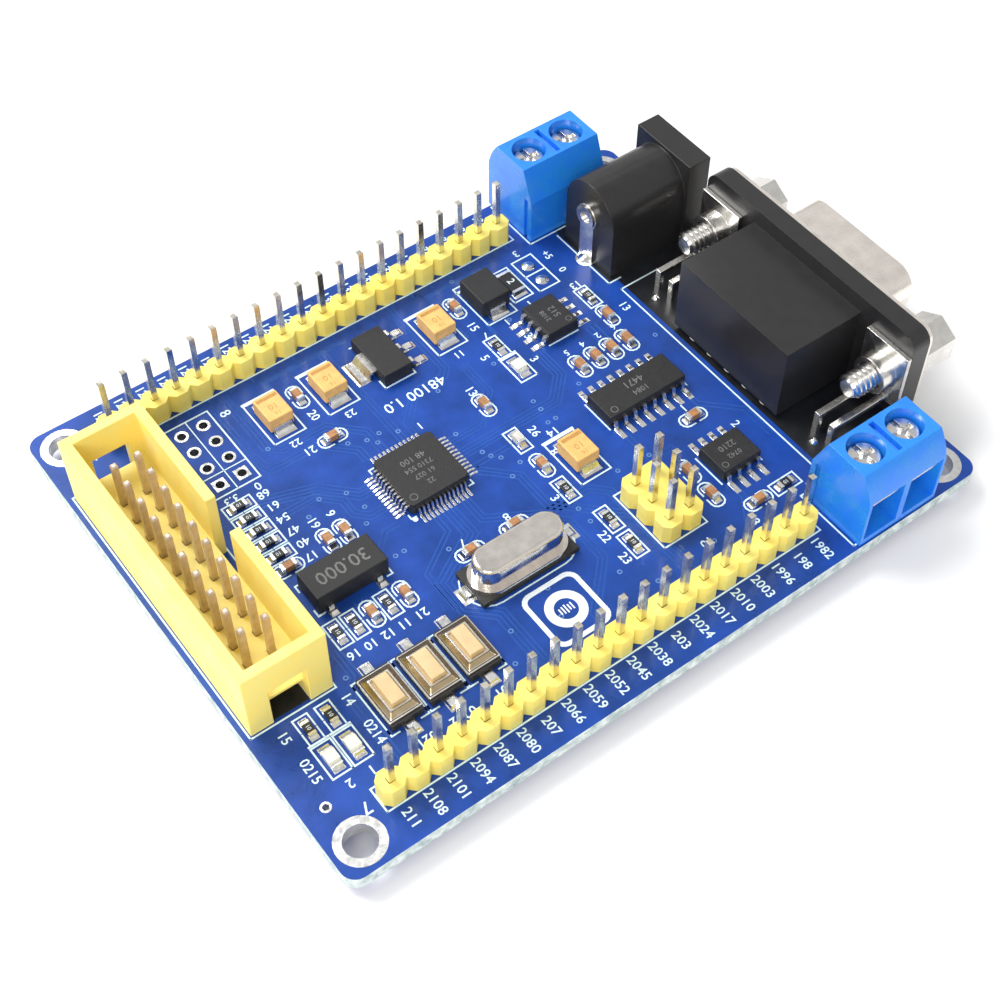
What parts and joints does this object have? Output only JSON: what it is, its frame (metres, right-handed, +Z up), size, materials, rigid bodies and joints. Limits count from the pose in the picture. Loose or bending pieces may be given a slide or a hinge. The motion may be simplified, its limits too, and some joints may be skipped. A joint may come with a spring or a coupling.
{
  "type": "microcontroller development board",
  "caption": "Blue microcontroller development board with long pin headers, shrouded debug header, push buttons, screw terminals, power jack and D-sub socket.",
  "frame": {"origin": "centre of the four mounting holes on the underside of the board", "axes": "+X along the board towards the power jack and the D-sub socket, +Y across the board towards the back pin header, +Z up out of the component side"},
  "size_m": [0.0812, 0.0604, 0.0146],
  "materials": {
    "solder_mask": "glossy blue solder mask on glass-fibre laminate",
    "yellow_plastic": "satin moulded",
    "tinned_pins": "bright tin plate",
    "gilded_pins": "gold flash",
    "chip_black": "fine matt moulding compound",
    "tinned_leads": "matt tin",
    "brown_ceramic": "fired ceramic",
    "pale_ceramic": "fired ceramic",
    "led_resin": "translucent resin",
    "black_plastic": "satin moulded",
    "polished_can": "bright drawn steel",
    "amber_resin": "satin resin",
    "cream_plastic": "satin moulded",
    "blue_plastic": "smooth moulded",
    "plated_metal": "satin nickel plate"
  },
  "bodies": {
    "board": {"circuit_board": "solder_mask", "side_header_housings": "yellow_plastic", "side_header_pins": "tinned_pins", "small_header_housing": "yellow_plastic", "small_header_pins": "tinned_pins", "box_header_shroud": "yellow_plastic", "box_header_pins": "gilded_pins", "microcontroller_body": "chip_black", "microcontroller_leads": "tinned_leads", "line_driver_body": "chip_black", "line_driver_leads": "tinned_leads", "small_chip_bodies": "chip_black", "small_chip_leads": "tinned_leads", "regulator_body": "chip_black", "regulator_leads": "tinned_leads", "diode_body": "chip_black", "diode_leads": "tinned_leads", "fuse_body": "chip_black", "crystal_base": "black_plastic", "crystal_leads": "tinned_leads", "crystal_can": "polished_can", "clock_crystal_body": "chip_black", "clock_crystal_leads": "tinned_leads", "tantalum_bodies": "amber_resin", "tantalum_leads": "tinned_leads", "resistor_bodies": "chip_black", "capacitor_bodies": "brown_ceramic", "ferrite_bead": "pale_ceramic", "chip_end_caps": "tinned_leads", "led_bodies": "led_resin", "led_end_caps": "tinned_leads", "switch_bases": "black_plastic", "switch_leads": "tinned_leads", "switch_domes": "polished_can", "switch_frames": "polished_can", "terminal_housing_back": "blue_plastic", "terminal_housing_front": "blue_plastic", "terminal_cages": "plated_metal", "jack_housing": "black_plastic", "jack_centre_pin": "plated_metal", "jack_solder_tabs": "plated_metal", "jack_spring_leaf": "plated_metal", "dsub_housing": "black_plastic", "dsub_shell": "plated_metal", "dsub_contacts": "gilded_pins", "dsub_brackets": "plated_metal", "dsub_standoffs": "plated_metal", "solder_joints": "tinned_leads"},
    "button_1": {"plunger_1": "cream_plastic"},
    "button_2": {"plunger_2": "cream_plastic"},
    "button_3": {"plunger_3": "cream_plastic"},
    "leaf_1": {"clamp_leaf_1": "plated_metal"},
    "screw_1": {"clamp_screw_1": "plated_metal"},
    "leaf_2": {"clamp_leaf_2": "plated_metal"},
    "screw_2": {"clamp_screw_2": "plated_metal"},
    "leaf_3": {"clamp_leaf_3": "plated_metal"},
    "screw_3": {"clamp_screw_3": "plated_metal"},
    "leaf_4": {"clamp_leaf_4": "plated_metal"},
    "screw_4": {"clamp_screw_4": "plated_metal"}
  },
  "joints": [
    {"name": "button_1_press", "type": "slide", "parent": "board", "child": "button_1", "axis": [0, 0, -1], "range_m": [0, 0.00025], "stiffness_N_per_m": 6000},
    {"name": "button_2_press", "type": "slide", "parent": "board", "child": "button_2", "axis": [0, 0, -1], "range_m": [0, 0.00025], "stiffness_N_per_m": 6000},
    {"name": "button_3_press", "type": "slide", "parent": "board", "child": "button_3", "axis": [0, 0, -1], "range_m": [0, 0.00025], "stiffness_N_per_m": 6000},
    {"name": "clamp_1_slide", "type": "slide", "parent": "board", "child": "leaf_1", "axis": [0, 0, 1], "range_m": [-0.0026, 0]},
    {"name": "screw_1_turn", "type": "hinge", "parent": "leaf_1", "child": "screw_1", "pos_m": [0.02353, 0.0264, 0.0099], "axis": [0, 0, 1], "range_deg": [-1872, 0]},
    {"name": "clamp_2_slide", "type": "slide", "parent": "board", "child": "leaf_2", "axis": [0, 0, 1], "range_m": [-0.0026, 0]},
    {"name": "screw_2_turn", "type": "hinge", "parent": "leaf_2", "child": "screw_2", "pos_m": [0.02861, 0.0264, 0.0099], "axis": [0, 0, 1], "range_deg": [-1872, 0]},
    {"name": "clamp_3_slide", "type": "slide", "parent": "board", "child": "leaf_3", "axis": [0, 0, 1], "range_m": [-0.0026, 0]},
    {"name": "screw_3_turn", "type": "hinge", "parent": "leaf_3", "child": "screw_3", "pos_m": [0.02383, -0.0258, 0.0099], "axis": [0, 0, 1], "range_deg": [-1872, 0]},
    {"name": "clamp_4_slide", "type": "slide", "parent": "board", "child": "leaf_4", "axis": [0, 0, 1], "range_m": [-0.0026, 0]},
    {"name": "screw_4_turn", "type": "hinge", "parent": "leaf_4", "child": "screw_4", "pos_m": [0.02891, -0.0258, 0.0099], "axis": [0, 0, 1], "range_deg": [-1872, 0]}
  ]
}
